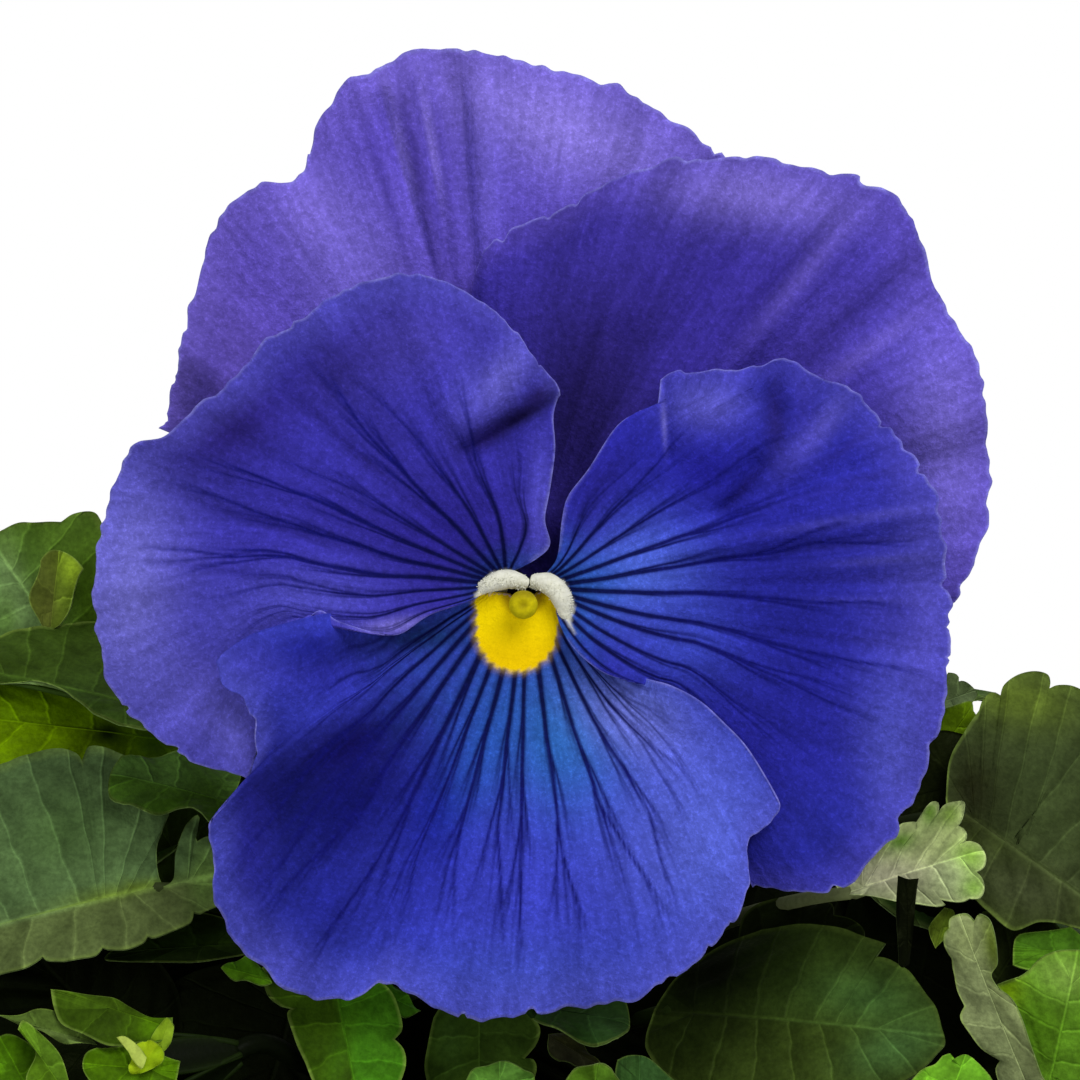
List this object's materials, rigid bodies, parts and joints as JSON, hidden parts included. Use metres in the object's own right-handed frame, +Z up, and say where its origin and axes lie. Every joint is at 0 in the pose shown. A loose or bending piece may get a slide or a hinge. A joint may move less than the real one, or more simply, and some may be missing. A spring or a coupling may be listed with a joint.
{
  "type": "potted pansy planter",
  "caption": "Pansy plant with an open bloom, a bud and a mound of scalloped leaves, rooted in soil in a tapered clay pot.",
  "frame": {"origin": "centre of the pot's underside", "axes": "+Z up the pot's axis; -Y the way the open bloom faces; +X to the bloom's right as seen from the front"},
  "size_m": [0.1626, 0.1584, 0.2297],
  "materials": {
    "clay_pot": "matt unglazed terracotta",
    "potting_soil": "crumbly moist peat",
    "leaf": "satin green leaf with paler veins and margin",
    "stalk": "smooth fleshy green stalk",
    "petal_upper": "velvety violet",
    "petal_side": "velvety deep violet blue with dark veins",
    "petal_lower": "velvety blue with dark veins and a yellow eye",
    "stigma": "waxy olive yellow",
    "anther": "powdery orange",
    "bud": "pale green rolled petals"
  },
  "bodies": {
    "root": {"pot": "clay_pot", "soil": "potting_soil", "leafy_stem_1": "leaf", "leafy_stem_2": "leaf", "leafy_stem_3": "leaf", "leafy_stem_4": "leaf", "leafy_stem_5": "leaf", "leafy_stem_6": "leaf", "leafy_stem_7": "leaf", "leafy_stem_8": "leaf", "flower_stalk": "stalk", "petal_upper_left": "petal_upper", "petal_upper_right": "petal_upper", "petal_side_left": "petal_side", "petal_side_right": "petal_side", "petal_lower": "petal_lower", "pistil": "stigma", "stamens": "anther", "bud_stalk": "stalk", "flower_bud": "bud"}
  },
  "joints": []
}
